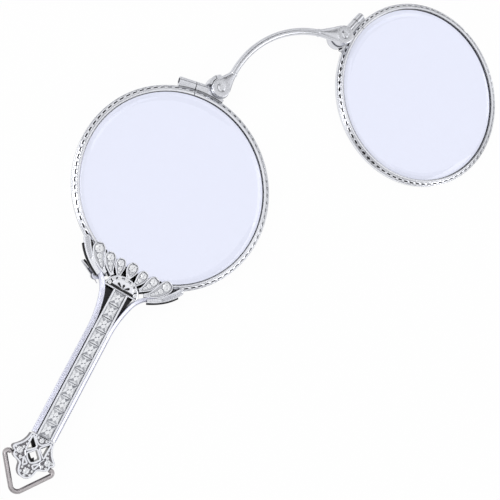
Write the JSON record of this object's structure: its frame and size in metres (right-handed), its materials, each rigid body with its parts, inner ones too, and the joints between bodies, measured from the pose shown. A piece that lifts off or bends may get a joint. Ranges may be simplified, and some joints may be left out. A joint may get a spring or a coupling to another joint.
{
  "type": "lorgnette",
  "caption": "Folding lorgnette: round lenses in engraved rims on an arched bridge that turns on spring pivots, with a jewelled handle, a thumb lever and a bail for a ribbon.",
  "frame": {"origin": "middle of the base of the open lorgnette lying on its back", "axes": "+X towards the second lens, +Y from the lenses towards the arch of the bridge, +Z out of the front towards the viewer"},
  "size_m": [0.1344, 0.064, 0.0046],
  "materials": {
    "platinum": "polished platinum with fine wear",
    "engraved_platinum": "polished platinum with an engraved leaf band",
    "millegrain_platinum": "pierced and beaded platinum",
    "steel": "spring steel",
    "lens_glass": "clear polished lens",
    "stone": "clear cut stone"
  },
  "bodies": {
    "handle": {"rim_1": "engraved_platinum", "lens_1": "lens_glass", "closing_tube_1": "platinum", "closing_screw_1": "steel", "pivot_drum_1": "platinum", "pivot_spring_1": "steel", "rim_saddle": "platinum", "fan_gallery": "millegrain_platinum", "fan_stones": "stone", "half_moon": "millegrain_platinum", "half_moon_stones": "stone", "handle_rails": "platinum", "stone_channel": "millegrain_platinum", "channel_stones": "stone", "terminal": "millegrain_platinum", "terminal_stones": "stone", "lever_pin": "steel", "lever_spring": "steel"},
    "bridge": {"bridge_arm": "platinum", "pivot_rivet_1": "platinum", "pivot_rivet_2": "platinum"},
    "far_lens": {"rim_2": "engraved_platinum", "lens_2": "lens_glass", "closing_tube_2": "platinum", "closing_screw_2": "steel", "pivot_drum_2": "platinum", "pivot_spring_2": "steel"},
    "bail": {"bail": "platinum"},
    "lever": {"release_lever": "platinum"}
  },
  "joints": [
    {"name": "bridge_pivot", "type": "hinge", "parent": "handle", "child": "bridge", "pos_m": [0.00056, 0.02492, 0.0034], "axis": [0, 0, 1], "range_deg": [-95.62, 0], "stiffness_Nm_per_rad": 0.002, "springref_deg": 85.94},
    {"name": "far_lens_pivot", "type": "hinge", "parent": "bridge", "child": "far_lens", "pos_m": [0.03222, 0.02695, 0.00175], "axis": [0, 0, 1], "range_deg": [-80.27, 0], "stiffness_Nm_per_rad": 0.001, "springref_deg": 85.94},
    {"name": "bail_swing", "type": "hinge", "parent": "handle", "child": "bail", "pos_m": [-0.06178, -0.02729, 0.003], "axis": [0.6293, -0.7771, 0], "range_deg": [-90, 90]},
    {"name": "lever_press", "type": "hinge", "parent": "handle", "child": "lever", "pos_m": [-0.03718, -0.00055, 0.00095], "axis": [0, 0, -1], "range_deg": [0, 6.5], "stiffness_Nm_per_rad": 0.001, "springref_deg": -17.19}
  ]
}
